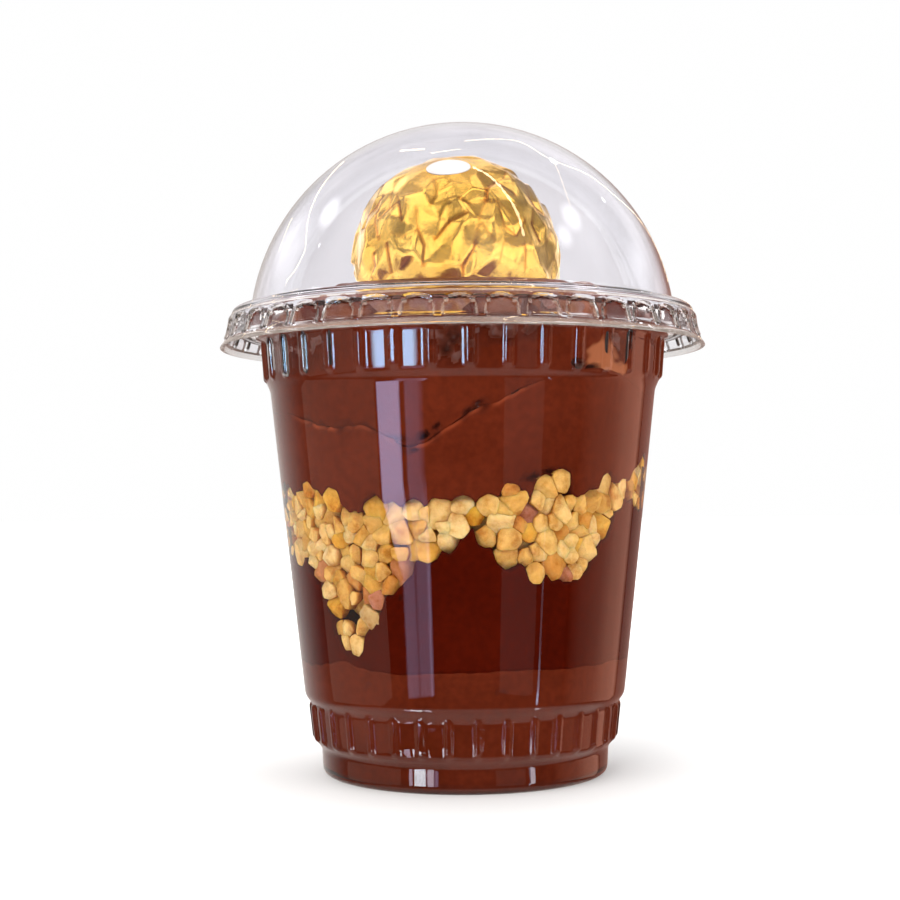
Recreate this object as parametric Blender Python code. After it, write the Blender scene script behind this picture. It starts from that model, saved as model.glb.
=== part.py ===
"""Chocolate mousse in a ribbed clear cup under a clear dome lid, with a foil ball on top.

Metres, +Z up, foot of the cup on z = 0, cup axis on Z, the side seen in the photo faces -Y.
Lengths below are written in millimetres and scaled once, when a mesh is made.
"""
import math
import random

import bmesh
import bpy
from mathutils import Matrix, Vector

MM = 0.001
SEED = 2
GAP = 0.3            # clear space between solids that touch in life
LAYER_GAP = 0.4      # upright gap between two layers, a little more because they slope

# cup
COLUMNS = 64         # sides round the cup and the layers in it
RIB_COUNT = 36       # ribs in each of the cup's two bands
LOW_RIB_TURN = 4.5   # azimuth of the first rib in degrees
HIGH_RIB_TURN = 2.0
RIB_RISE = 0.55
RIB_WIDTH = 1.1
RIB_EDGE = 0.35
FOOT_R = 24.2
FOOT_TOP = 4.6
FOOT_RING_R = 21.4
FOOT_RECESS = 1.1
FLOOR_Z = 1.8
GROOVE = ((23.4, 1.3), (22.9, 0.7), (22.1, 0.7), (20.9, 1.8))     # inside of the foot, which the mousse fills
LOW_BAND = ((25.3, 5.6), (26.0, 11.9))
WALL = ((27.1, 13.4), (32.8, 64.6))
HIGH_BAND = ((33.5, 66.0), (34.0, 72.4))
WALL_T = 0.7
RIM_R = 38.6
RIM_TOP = 76.5
RIM_UNDER = 73.7
MOUTH_R = 35.6

# lid
LID_COLUMNS = 80
DOME_COLUMNS = 40
LID_RIB_COUNT = 40
LID_RIB_TURN = 4.0
LID_RIB_RISE = 0.4
LID_RIB_WIDTH = 0.9
LID_T = 0.5
SKIRT_EDGE = (41.3, 71.7)
SKIRT_BEND = (40.4, 72.7)
LID_WALL = ((39.75, 73.4), (39.45, 76.6))
SHOULDER = ((39.1, 77.8), (38.3, 78.3), (36.5, 78.4))
DOME_R = 36.3
DOME_Z = 73.8
DOME_FOOT_Z = 79.2
DOME_STEPS = 7

# foil ball and its label
BALL_R = 17.7
BALL_AT = (-1.0, 0.0, 87.0)
BALL_CREASE = 0.7
LABEL_SIZE = (7.6, 6.0)
LABEL_T = 0.25
LABEL_UP = 54.0      # degrees above level
LABEL_TURN = -6.0    # degrees off the front

# mousse and nuts, heights on the cup wall
BASE_TOP = 19.4
BASE_FOOT = ((21.0, 2.2), (22.35, 1.1), (22.7, 1.1), (23.0, 1.6))   # underside of the lowest layer
SEAM_LEVEL = 61.0
SEAM_HIGHEST = 64.2
NUT_TOP_LEVEL = 47.0
NUT_BOTTOM_LEVEL = 36.4
TOP_AT_WALL = 75.2
TOP_AT_BALL = 81.6
# each swell is (azimuth in degrees from the front, to the right positive, half width, height)
BASE_SWELLS = ((-43, 9, 1.0),)
NUT_TOP_SWELLS = ((-62, 16, 1.4), (-33, 8, -3.0), (-8, 9, -1.8), (15, 8, 0.9), (29, 6, 4.0),
                  (46, 6, 2.6), (74, 16, 5.5), (120, 20, -2.0), (165, 18, 2.6), (-140, 22, -2.4),
                  (-100, 16, 2.2))
NUT_BOTTOM_SWELLS = ((-66, 8, 1.6), (-40, 18, -7.6), (-40, 9, -7.4), (2, 16, 4.4), (27, 16, -3.6),
                     (62, 15, 9.0), (80, 14, 7.6), (125, 22, -4.0), (-165, 24, 3.4), (-110, 18, -3.0))
SEAM_SWELLS = ((-15, 14, -6.6), (-40, 18, -3.5), (2, 14, -1.6), (40, 30, 5.3), (-70, 18, -0.6),
               (150, 30, -4.0))
LUMPS = ((-150, 14, 1.0), (-118, 10, 1.2), (-62, 9, 1.3), (-40, 7, 0.7), (42, 8, 1.4), (66, 8, 0.9),
         (100, 12, 1.2), (140, 10, 0.8), (28, 6, -1.4), (-8, 12, -0.5))
INNER_SHARE = 0.7    # share of the radius at which a layer's face has its inner ring
NUT_STACKS = 34                      # stacks of pieces round the wall
NUT_PITCH = 4.4                      # upright distance between pieces in a stack
NUT_SIZE = (2.6, 4.2)
NUT_CORE_INSET = 1.4
NUT_REACH = 3.4      # degrees either side that a piece keeps clear of the layers' edges


def clear_scene():
    """Start from an empty scene."""
    for ob in list(bpy.data.objects):
        bpy.data.objects.remove(ob)


def swells(turn, items):
    """Sum of smooth swells at this azimuth in degrees."""
    total = 0.0
    for centre, half, height in items:
        off = (turn - centre + 180.0) % 360.0 - 180.0
        total += height * math.exp(-1.4 * (off / half) ** 2)
    return total


def inner_radius(z):
    """Inside radius of the cup at height z."""
    steps = (GROOVE[0], (FOOT_R - WALL_T, FOOT_TOP - 0.4),
             (LOW_BAND[0][0] - WALL_T, LOW_BAND[0][1]), (LOW_BAND[1][0] - WALL_T, LOW_BAND[1][1] + 0.2),
             (WALL[0][0] - WALL_T, WALL[0][1] + 0.2), (WALL[1][0] - WALL_T, WALL[1][1] - 0.1),
             (HIGH_BAND[0][0] - WALL_T, HIGH_BAND[0][1]), (HIGH_BAND[1][0] - WALL_T, HIGH_BAND[1][1] + 0.3),
             (34.2, 74.0), (MOUTH_R, 75.8))
    if z <= steps[0][1]:
        return steps[0][0]
    for low, high in zip(steps, steps[1:]):
        if z <= high[1]:
            share = (z - low[1]) / (high[1] - low[1])
            return low[0] + share * (high[0] - low[0])
    return steps[-1][0]


def polar(radius, turn, z, centre=(0.0, 0.0)):
    """Point at an azimuth in degrees from the front."""
    a = math.radians(turn)
    return Vector((centre[0] + radius * math.sin(a), centre[1] - radius * math.cos(a), z))


def even_turns(count):
    return [360.0 * i / count for i in range(count)]


def add_ring(bm, radius, z, turns, centre=(0.0, 0.0)):
    """A ring of vertices. radius and z may be numbers or functions of the azimuth."""
    verts = []
    for turn in turns:
        r = radius(turn) if callable(radius) else radius
        h = z(turn) if callable(z) else z
        verts.append(bm.verts.new(polar(r, turn, h, centre)))
    return (turns, verts)


def bridge(bm, lower, upper):
    """Join two rings by faces, with any number of vertices on each."""
    (ta, va), (tb, vb) = lower, upper
    if ta == tb:
        for i in range(len(va)):
            j = (i + 1) % len(va)
            bm.faces.new((va[i], va[j], vb[j], vb[i]))
        return
    i = j = 0
    while i < len(va) or j < len(vb):
        next_a = ta[i + 1] if i + 1 < len(ta) else ta[0] + 360.0
        next_b = tb[j + 1] if j + 1 < len(tb) else tb[0] + 360.0
        here_a, here_b = va[i % len(va)], vb[j % len(vb)]
        if j >= len(vb) or (i < len(va) and next_a <= next_b):
            bm.faces.new((here_a, va[(i + 1) % len(va)], here_b))
            i += 1
        else:
            bm.faces.new((here_a, vb[(j + 1) % len(vb)], here_b))
            j += 1


def cap(bm, ring, z, centre=(0.0, 0.0)):
    """Close a ring with a fan about a middle vertex."""
    middle = bm.verts.new((centre[0], centre[1], z))
    verts = ring[1]
    for i in range(len(verts)):
        bm.faces.new((verts[i], verts[(i + 1) % len(verts)], middle))


def rib_turns(count, first, width, edge, radius):
    """Azimuths of four vertices a rib: foot, top, top, foot."""
    turns = []
    half = math.degrees(0.5 * width / radius)
    side = math.degrees(edge / radius)
    for i in range(count):
        centre = first + 360.0 * i / count
        turns += [centre - half - side, centre - half, centre + half, centre + half + side]
    return turns


def ribbed(radius, rise):
    """Radius of a ribbed ring for vertices that come four to a rib."""
    def at(turn, state={"n": -1}):
        state["n"] += 1
        return radius + (rise if state["n"] % 4 in (1, 2) else 0.0)
    return at


def finish(bm, name, colour, roughness=0.5, metallic=0.0, alpha=1.0):
    """Turn a bmesh in millimetres into a named object with its own material."""
    bmesh.ops.recalc_face_normals(bm, faces=bm.faces)
    bmesh.ops.transform(bm, matrix=Matrix.Scale(MM, 4), verts=bm.verts)
    mesh = bpy.data.meshes.new(name)
    bm.to_mesh(mesh)
    bm.free()
    ob = bpy.data.objects.new(name, mesh)
    bpy.context.scene.collection.objects.link(ob)
    mat = bpy.data.materials.new(name)
    mat.use_nodes = True
    shader = mat.node_tree.nodes["Principled BSDF"]
    shader.inputs["Base Color"].default_value = (*colour, 1.0)
    shader.inputs["Roughness"].default_value = roughness
    shader.inputs["Metallic"].default_value = metallic
    if alpha < 1.0:
        shader.inputs["Transmission Weight"].default_value = 1.0 - alpha
        shader.inputs["IOR"].default_value = 1.57
    mesh.materials.append(mat)
    return ob


def join_rings(bm, rings):
    for low, high in zip(rings, rings[1:]):
        bridge(bm, low, high)


def build_cup():
    """Thermoformed cup: foot, two ribbed bands, slanting wall and rolled rim, one shell."""
    bm = bmesh.new()
    even = even_turns(COLUMNS)
    mid_r = 0.5 * (LOW_BAND[0][0] + LOW_BAND[1][0])
    low_ribs = rib_turns(RIB_COUNT, LOW_RIB_TURN, RIB_WIDTH, RIB_EDGE, mid_r)
    high_ribs = rib_turns(RIB_COUNT, HIGH_RIB_TURN, RIB_WIDTH, RIB_EDGE, HIGH_BAND[0][0])
    rings = [add_ring(bm, r, z, even) for r, z in
             ((FOOT_RING_R - 0.8, FOOT_RECESS), (FOOT_RING_R, 0.0), (FOOT_R - 0.7, 0.0),
              (FOOT_R, 0.7), (FOOT_R + 0.1, FOOT_TOP))]
    recess = rings[0]
    for band, turns in ((LOW_BAND, low_ribs), (HIGH_BAND, high_ribs)):
        for r, z in band:
            rings.append(add_ring(bm, ribbed(r, RIB_RISE), z, turns))
        if band is LOW_BAND:
            rings += [add_ring(bm, r, z, even) for r, z in WALL]
    rings += [add_ring(bm, r, z, even) for r, z in
              ((36.9, RIM_UNDER), (38.2, RIM_UNDER + 0.1), (RIM_R, 74.9),
               (RIM_R - 0.6, RIM_TOP), (RIM_R - 2.0, RIM_TOP), (MOUTH_R, 75.8))]
    for z in (74.0, HIGH_BAND[1][1] + 0.3, HIGH_BAND[0][1], WALL[1][1] - 0.1, WALL[0][1] + 0.2,
              LOW_BAND[1][1] + 0.2, LOW_BAND[0][1], FOOT_TOP - 0.4):
        rings.append(add_ring(bm, inner_radius(z), z, even))
    rings += [add_ring(bm, r, z, even) for r, z in GROOVE]
    join_rings(bm, rings)
    cap(bm, rings[-1], FLOOR_Z)
    cap(bm, recess, FOOT_RECESS)
    return finish(bm, "cup", (0.86, 0.88, 0.90), roughness=0.06, alpha=0.08)


def dome_rings(bm, radius, foot_z, turns):
    """Rings of the dome from its foot up, without the top point."""
    start = math.asin((foot_z - DOME_Z) / radius)
    rings = []
    for i in range(DOME_STEPS):
        up = start + (0.5 * math.pi - start) * i / DOME_STEPS
        rings.append(add_ring(bm, radius * math.cos(up), DOME_Z + radius * math.sin(up), turns))
    return rings


def build_lid():
    """Dome lid: flared skirt edge, ribbed skirt over the cup rim, flat shoulder and dome."""
    bm = bmesh.new()
    even = even_turns(LID_COLUMNS)
    sparse = even_turns(DOME_COLUMNS)
    rib = rib_turns(LID_RIB_COUNT, LID_RIB_TURN, LID_RIB_WIDTH, RIB_EDGE, LID_WALL[0][0])
    rings = [add_ring(bm, SKIRT_EDGE[0], SKIRT_EDGE[1], even),
             add_ring(bm, SKIRT_BEND[0] + 0.25, SKIRT_BEND[1], even)]
    rings += [add_ring(bm, ribbed(r, LID_RIB_RISE), z, rib) for r, z in LID_WALL]
    rings += [add_ring(bm, r, z, even) for r, z in SHOULDER]
    rings += dome_rings(bm, DOME_R, DOME_FOOT_Z, sparse)
    join_rings(bm, rings)
    cap(bm, rings[-1], DOME_Z + DOME_R)
    inside = dome_rings(bm, DOME_R - LID_T, DOME_FOOT_Z - 0.2, sparse)
    cap(bm, inside[-1], DOME_Z + DOME_R - LID_T)
    inside = inside[::-1] + [add_ring(bm, r, z, even) for r, z in
                             ((SHOULDER[2][0] - 0.5, SHOULDER[2][1] - LID_T),
                              (SHOULDER[1][0] - 0.1, SHOULDER[1][1] - LID_T),
                              (SHOULDER[0][0] - 0.15, SHOULDER[0][1] - LID_T),
                              (LID_WALL[0][0] - LID_T, LID_WALL[0][1] - 0.3))]
    join_rings(bm, inside)
    bridge(bm, inside[-1], rings[0])
    return finish(bm, "dome_lid", (0.90, 0.90, 0.92), roughness=0.04, alpha=0.06)


def base_top(turn):
    return BASE_TOP + swells(turn, BASE_SWELLS)


def nut_bottom(turn):
    return max(NUT_BOTTOM_LEVEL + swells(turn, NUT_BOTTOM_SWELLS), base_top(turn) + 1.1)


def nut_top(turn):
    return NUT_TOP_LEVEL + swells(turn, NUT_TOP_SWELLS)


def seam(turn):
    return min(SEAM_LEVEL + swells(turn, SEAM_SWELLS), SEAM_HIGHEST)


def faded(height, level, share):
    """Height of a layer's face at a share of the radius: flat about the axis, true at the wall."""
    return level + (height - level) * share ** 3


def add_layer(bm, low, low_level, high, high_level, rows=(), inset=GAP,
              shares=(INNER_SHARE,), columns=COLUMNS):
    """Close a layer between two faces that vary with the azimuth, out to the cup wall."""
    even = even_turns(columns)

    def face(height, level, order):
        rings = []
        for share in order:
            def radius(turn, s=share):
                return s * (inner_radius(height(turn)) - inset)

            def z(turn, s=share):
                return faded(height(turn), level, s)
            rings.append(add_ring(bm, radius, z, even))
        return rings

    rings = face(low, low_level, sorted(shares) + [1.0])
    for z in rows:
        rings.append(add_ring(bm, inner_radius(z) - inset, z, even))
    rings += face(high, high_level, [1.0] + sorted(shares, reverse=True))
    join_rings(bm, rings)
    cap(bm, rings[0], low_level)
    cap(bm, rings[-1], high_level)


def raised(height, by):
    return lambda turn: height(turn) + by


def build_base():
    """Milk chocolate layer on the floor of the cup."""
    bm = bmesh.new()
    even = even_turns(COLUMNS // 2)
    inset = GAP + 0.1
    top = raised(base_top, -0.5 * LAYER_GAP)
    level = BASE_TOP - 0.5 * LAYER_GAP
    rings = [add_ring(bm, r, z, even) for r, z in BASE_FOOT]
    for z in (FOOT_TOP - 0.4, LOW_BAND[0][1] + 0.1, LOW_BAND[1][1] + 0.1, WALL[0][1] + 0.4):
        rings.append(add_ring(bm, inner_radius(z) - inset, z, even))
    rings.append(add_ring(bm, lambda turn: inner_radius(top(turn)) - inset, top, even))
    rings.append(add_ring(bm, INNER_SHARE * (inner_radius(level) - inset),
                          lambda turn: faded(top(turn), level, INNER_SHARE), even))
    join_rings(bm, rings)
    cap(bm, rings[0], BASE_FOOT[0][1])
    cap(bm, rings[-1], level)
    return finish(bm, "mousse_base", (0.16, 0.038, 0.017), roughness=0.45)


def build_dark():
    """Dark chocolate layer between the base and the nuts."""
    bm = bmesh.new()
    half = 0.5 * LAYER_GAP
    add_layer(bm, raised(base_top, half), BASE_TOP + half, raised(nut_bottom, -half),
              NUT_BOTTOM_LEVEL - half)
    return finish(bm, "mousse_dark", (0.055, 0.006, 0.002), roughness=0.35)


def build_middle():
    """Milk chocolate layer from the nuts up to the slanting seam."""
    bm = bmesh.new()
    half = 0.5 * LAYER_GAP
    add_layer(bm, raised(nut_top, half), NUT_TOP_LEVEL + half, raised(seam, -half),
              SEAM_LEVEL - half)
    return finish(bm, "mousse_middle", (0.15, 0.034, 0.014), roughness=0.45)


def top_at_wall(turn):
    return TOP_AT_WALL + swells(turn, LUMPS)


def build_top():
    """Upper milk chocolate layer, heaped in the middle, with a seat that holds the ball."""
    bm = bmesh.new()
    even = even_turns(COLUMNS)
    half = 0.5 * LAYER_GAP
    rings = []
    for share in (INNER_SHARE, 1.0):
        rings.append(add_ring(bm, lambda turn, s=share: s * (inner_radius(seam(turn)) - GAP),
                              lambda turn, s=share: faded(seam(turn), SEAM_LEVEL, s) + half, even))
    cap(bm, rings[0], SEAM_LEVEL + half)
    for z in (WALL[1][1], HIGH_BAND[0][1] + 0.2, HIGH_BAND[1][1] + 0.1):
        rings.append(add_ring(bm, inner_radius(z) - GAP - 0.05, z, even))
    rings.append(add_ring(bm, lambda turn: min(inner_radius(top_at_wall(turn)), 34.6) - GAP - 0.3,
                          lambda turn: top_at_wall(turn) - 0.5, even))
    seat_r = BALL_R + GAP + 0.3
    edge_r = math.sqrt(seat_r ** 2 - (BALL_AT[2] - TOP_AT_BALL) ** 2)
    slope = ((31.5, 0.75, 0.1), (25.5, 0.3, 0.55), (edge_r + 1.5, 0.1, 0.97))
    for r, waver, share in slope:
        shift = (BALL_AT[0] * share, BALL_AT[1] * share)
        rings.append(add_ring(bm, r, lambda turn, w=waver, s=share:
                              TOP_AT_WALL + (TOP_AT_BALL - TOP_AT_WALL) * s
                              + w * swells(turn, LUMPS), even, shift))
    for r in (edge_r, 13.0, 7.0):
        z = BALL_AT[2] - math.sqrt(seat_r ** 2 - r ** 2)
        rings.append(add_ring(bm, r, z, even, BALL_AT[:2]))
    join_rings(bm, rings)
    cap(bm, rings[-1], BALL_AT[2] - seat_r, BALL_AT[:2])
    return finish(bm, "mousse_top", (0.15, 0.034, 0.014), roughness=0.4)


def between_columns(height, turn, pick):
    """Height of a layer's faceted edge about a piece: the least or most within its reach."""
    step = 360.0 / COLUMNS
    first = math.floor((turn - NUT_REACH) / step)
    last = math.ceil((turn + NUT_REACH) / step)
    near = [turn - NUT_REACH, turn, turn + NUT_REACH]
    near += [i * step for i in range(first, last + 1) if abs(i * step - turn) < NUT_REACH]
    heights = []
    for t in near:
        i = math.floor(t / step)
        share = t / step - i
        heights.append(height(i * step) * (1 - share) + height((i + 1) * step) * share)
    return pick(heights)


def keep_inside(point, inset=GAP):
    """Move a point of a nut piece inside the space that the nuts fill."""
    turn = math.degrees(math.atan2(point.x, -point.y))
    most = inner_radius(point.z) - inset
    r = min(math.hypot(point.x, point.y), most)
    low = between_columns(nut_bottom, turn, max) + 0.5 * LAYER_GAP + 0.1
    high = between_columns(nut_top, turn, min) - 0.5 * LAYER_GAP - 0.1
    return polar(r, turn, min(max(point.z, low), high))


def add_nut_piece(turn, z, rng, group):
    """One chopped piece: a skewed block of true size, turned at random and flat to the wall."""
    size = Vector([rng.uniform(*NUT_SIZE) for _ in range(3)])
    spin = Matrix.Rotation(rng.uniform(0, math.tau), 3, "Z") @ \
        Matrix.Rotation(rng.uniform(0, math.pi), 3, "X")
    centre = polar(inner_radius(z) - GAP - 0.42 * min(size), turn, z)
    bm = bmesh.new()
    bmesh.ops.create_cube(bm, size=1.0)
    for v in bm.verts:
        skew = rng.uniform(0.72, 1.0)
        v.co = keep_inside(centre + spin @ Vector([c * s * skew for c, s in zip(v.co, size)]))
    bmesh.ops.triangulate(bm, faces=bm.faces)
    piece = finish(bm, "piece", (0.6, 0.4, 0.2))
    bpy.context.scene.collection.objects.unlink(piece)
    group.objects.link(piece)


def build_nuts():
    """Chopped nut layer: a core through the food with pieces fused on out to the wall."""
    rng = random.Random(SEED)
    bm = bmesh.new()
    inset = NUT_CORE_INSET

    def core_low(turn):
        return min(nut_bottom(turn) + inset, nut_top(turn) - inset - 1.0)

    add_layer(bm, core_low, NUT_BOTTOM_LEVEL + inset, raised(nut_top, -inset),
              NUT_TOP_LEVEL - inset, inset=GAP + 1.1)
    bmesh.ops.triangulate(bm, faces=bm.faces)
    core = finish(bm, "nut_layer", (0.62, 0.40, 0.17), roughness=0.55)
    group = bpy.data.collections.new("pieces")
    bpy.context.scene.collection.children.link(group)
    for i in range(NUT_STACKS):
        turn = 360.0 * (i + rng.uniform(-0.15, 0.15)) / NUT_STACKS
        low, high = nut_bottom(turn) + 1.5, nut_top(turn) - 1.5
        count = max(1, round((high - low) / NUT_PITCH))
        for k in range(count):
            z = low + (high - low) * (k + 0.5 + rng.uniform(-0.12, 0.12)) / count
            add_nut_piece(turn + rng.uniform(-0.8, 0.8), z, rng, group)
    union = core.modifiers.new("pieces", "BOOLEAN")
    union.operation = "UNION"
    union.operand_type = "COLLECTION"
    union.collection = group
    union.solver = "MANIFOLD"
    bpy.context.view_layer.objects.active = core
    bpy.ops.object.modifier_apply(modifier=union.name)
    for piece in list(group.objects):
        bpy.data.objects.remove(piece)
    bpy.data.collections.remove(group)
    keep_outer_skin(core)
    return core


def keep_outer_skin(ob):
    """Fill the small voids shut in between fused pieces: only the largest skin stays."""
    bm = bmesh.new()
    bm.from_mesh(ob.data)
    bmesh.ops.triangulate(bm, faces=bm.faces)
    left = set(bm.faces)
    skins = []
    while left:
        todo = [left.pop()]
        skin = list(todo)
        while todo:
            for edge in todo.pop().edges:
                for face in edge.link_faces:
                    if face in left and len(edge.link_faces) == 2:
                        left.remove(face)
                        todo.append(face)
                        skin.append(face)
        skins.append(skin)
    skins.sort(key=len)
    for skin in skins[:-1]:
        bmesh.ops.delete(bm, geom=skin, context="FACES")
    bm.to_mesh(ob.data)
    bm.free()


def build_ball():
    """Round sweet in crumpled foil, creased inward and smooth under its label."""
    rng = random.Random(SEED + 1)
    bm = bmesh.new()
    bmesh.ops.create_icosphere(bm, subdivisions=3, radius=BALL_R)
    facing = label_matrix().col[2].to_3d().normalized()
    for v in bm.verts:
        out = v.co.normalized()
        crease = 0.0 if out.dot(facing) > 0.93 else BALL_CREASE * rng.random() ** 2
        v.co = out * (BALL_R - crease)
    bmesh.ops.translate(bm, vec=Vector(BALL_AT), verts=bm.verts)
    return finish(bm, "foil_ball", (0.75, 0.47, 0.09), roughness=0.28, metallic=1.0)


def label_matrix():
    """Frame of the label with its Z out of the ball."""
    up = math.radians(LABEL_UP)
    turn = math.radians(LABEL_TURN)
    out = Vector((math.cos(up) * math.sin(turn), -math.cos(up) * math.cos(turn), math.sin(up)))
    side = Vector((0, 0, 1)).cross(out).normalized()
    rise = out.cross(side)
    return Matrix((side, rise, out)).transposed().to_4x4()


def build_label():
    """Blank oval label that follows the ball."""
    bm = bmesh.new()
    frame = label_matrix()
    turns = even_turns(16)
    shells = []
    for radius in (BALL_R + GAP, BALL_R + GAP + LABEL_T):
        rings = []
        for share in (0.5, 1.0):
            verts = []
            for turn in turns:
                a = math.radians(turn)
                flat = Vector((0.5 * LABEL_SIZE[0] * share * math.cos(a),
                               0.5 * LABEL_SIZE[1] * share * math.sin(a), BALL_R))
                verts.append(bm.verts.new(frame.to_3x3() @ (flat.normalized() * radius)))
            rings.append((turns, verts))
        bridge(bm, rings[0], rings[1])
        middle = bm.verts.new(frame.to_3x3() @ Vector((0, 0, radius)))
        verts = rings[0][1]
        for i in range(len(verts)):
            bm.faces.new((verts[i], verts[(i + 1) % len(verts)], middle))
        shells.append(rings)
    bridge(bm, shells[0][1], shells[1][1])
    bmesh.ops.translate(bm, vec=Vector(BALL_AT), verts=bm.verts)
    return finish(bm, "ball_label", (0.86, 0.85, 0.83), roughness=0.4)


clear_scene()
build_cup()
build_lid()
build_base()
build_dark()
build_nuts()
build_middle()
build_top()
build_ball()
build_label()
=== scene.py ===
"""Chocolate mousse with chopped nuts in a clear cup, a clear dome lid and a foil ball on top.

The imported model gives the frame. Every node is replaced by a finer piece with the same form.
Lengths are in millimetres and scaled once, when a mesh is made. Azimuths are in degrees from
the side seen in the photo (-Y), positive to the right.
"""
import random
from math import asin, ceil, cos, degrees, exp, hypot, pi, radians, sin, sqrt

import bmesh
import bpy
import numpy as np
from mathutils import Matrix, Vector


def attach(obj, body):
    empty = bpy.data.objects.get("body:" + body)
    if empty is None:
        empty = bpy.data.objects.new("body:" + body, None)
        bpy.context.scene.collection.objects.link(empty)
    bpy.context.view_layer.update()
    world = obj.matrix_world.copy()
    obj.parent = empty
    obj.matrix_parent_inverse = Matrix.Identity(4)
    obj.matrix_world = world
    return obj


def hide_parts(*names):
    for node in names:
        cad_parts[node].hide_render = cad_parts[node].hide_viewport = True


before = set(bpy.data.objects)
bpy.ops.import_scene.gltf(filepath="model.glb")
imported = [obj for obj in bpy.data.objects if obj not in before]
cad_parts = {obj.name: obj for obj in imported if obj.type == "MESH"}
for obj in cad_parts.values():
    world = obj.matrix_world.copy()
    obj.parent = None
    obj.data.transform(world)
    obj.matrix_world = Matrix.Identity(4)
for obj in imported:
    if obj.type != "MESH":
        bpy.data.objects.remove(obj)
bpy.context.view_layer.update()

MM = 0.001
SEED = 11

# inside of the cup wall as (radius, height)
INSIDE = ((22.9, 0.7), (23.4, 1.3), (23.5, 4.2), (24.6, 5.6), (25.3, 12.1), (26.4, 13.6),
          (32.1, 64.5), (32.8, 66), (33.3, 72.7), (34.2, 74), (35.6, 75.8))
OUTSIDE = ((0, 1.1), (20.6, 1.1), (21.4, 0), (23.1, 0), (23.8, 0.3), (24.15, 1), (24.3, 4.6),
           (25.3, 5.7), (26, 11.9), (27.1, 13.4), (32.8, 64.6), (33.5, 66), (34, 72.4),
           (35, 73.5), (36.9, 73.7), (38.2, 73.8), (38.6, 74.9), (38, 76.4), (36.6, 76.5),
           (35.6, 75.8))
GROOVE = ((23.4, 1.3), (23.2, 0.95), (22.9, 0.72), (22.1, 0.72), (20.9, 1.8), (12, 1.8))
CUP_RIBS = 36
CUP_RIB = (0.5, 0.45, 0.4)           # rise, half width, width of a flank
CUP_RIB_R = 33.0                     # radius at which those widths hold
LOW_RIBS = (5.9, 11.8, 4.5)          # from, to, azimuth of the first rib
HIGH_RIBS = (66.2, 72.5, 2)
LID_RIBS = 40
LID_RIB = (0.45, 0.45, 0.35)
LID_RIB_R = 39.7
LID_PHASE = 4.0
ARCH = (73.6, 2.7, 2.55)             # foot, height and half width of a panel between lid ribs
DOME = (36.3, 73.8)                  # radius and height of the centre
DOME_T = 0.5
SKIRT = ((36, 78.7), (36.6, 78.35), (38.3, 78.3), (38.95, 78.05), (39.3, 77.5), (39.4, 76.4),
         (39.65, 74.9), (40, 73.5), (40.4, 72.8), (41.25, 71.8), (41.15, 71.55), (40.1, 72.3),
         (39.55, 73.4), (39.1, 74.9), (38.9, 76.4), (38.8, 77.4), (38.3, 77.8), (36.3, 77.85),
         (35.5, 78.6))
BALL_R = 17.7
BALL_AT = (-1, 0, 87)
SEAT_R = BALL_R + 0.05               # hollow of the heap in which the ball sits
LABEL_UP = 54.0
LABEL_TURN = -6.0
LABEL_SIZE = (3.8, 3)

# edges of the layers on the wall, each swell is (azimuth, half width, height)
BASE_LEVEL = 19.4
BASE_SWELLS = ((-45, 9, 1.2), (-20, 8, -0.3), (20, 12, 0.3), (60, 14, 0.4), (130, 30, 0.6))
NUT_TOP_LEVEL = 47.0
NUT_TOP_SWELLS = ((66, 12, 0.5), (-62, 16, 1.4), (-33, 8, -3), (-19, 5, 0.2), (-8, 9, -1.8),
                  (15, 8, 0.9), (29, 6, 4), (37, 4, -0.2), (46, 5, 2.8), (74, 16, 5.5),
                  (120, 20, -2), (165, 18, 2.6), (-140, 22, -2.4), (-100, 16, 2.2))
NUT_BOTTOM_LEVEL = 36.5
NUT_BOTTOM_SWELLS = ((66, 10, -0.9), (-52, 7, -1.1), (-40, 9, -6.7), (-38, 14, -9.4), (-24, 7, -2.6),
                     (2, 14, 2.8), (22, 10, -3.3), (36, 8, -3.3), (60, 14, 9.4), (82, 14, 10.4),
                     (125, 22, -4), (-165, 24, 3.4), (-110, 18, -3))
SEAM_LEVEL = 61.0
SEAM_SWELLS = ((-15, 14, -6.6), (-40, 18, -3.5), (2, 14, -1.6), (40, 30, 5.3), (-70, 18, -0.6),
               (150, 30, -4))
TOP_LUMPS = ((-150, 14, 1), (-118, 10, 1.2), (-62, 9, 1.3), (-40, 7, 0.7), (42, 8, 1.4),
             (66, 8, 0.9), (100, 12, 1.2), (140, 10, 0.8), (28, 6, -1.4), (-8, 12, -0.5))
COLUMNS = 720
REACH = 0.06                         # how far the contents reach into the wall
UNROLL = 29.5                        # radius at which the wall is unrolled to lay out the nuts
AROUND = 2.0 * pi * UNROLL
NUT_REACH = 0.1
TAIL = (-41.2, 3.3, 22.6, 27)      # small cluster below the nuts: azimuth, half width, heights
NEAREST = 9.0                        # only pieces closer than this cut each other
YELLOWER = (14, 62)              # azimuths between which the nuts are a little yellower
# heights at the middle of the cup of each layer's underside and top
BASE_MIDDLE = (1.75, 19)
DARK_MIDDLE = (19.2, 36)
NUTS_MIDDLE = (36, 46)
MILK_MIDDLE = (46.4, 60)
HEAP_MIDDLE = 60.4
LAYER_SHARES = (0.35, 0.7, 0.9)      # shares of the radius of the rings on a layer's two faces
HEAP_ROWS = 36                       # rings from the wall to the ball on the heap's open top


def wrapped(off, whole=360.0):
    """The same place on a round, at most half way from nought."""
    return (off + 0.5 * whole) % whole - 0.5 * whole


def swells(turn, items):
    turn = np.asarray(turn, float)
    total = np.zeros_like(turn)
    for centre, half, height in items:
        total += height * np.exp(-1.4 * (wrapped(turn - centre) / half) ** 2)
    return total


def base_top(turn):
    return BASE_LEVEL + swells(turn, BASE_SWELLS)


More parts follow.
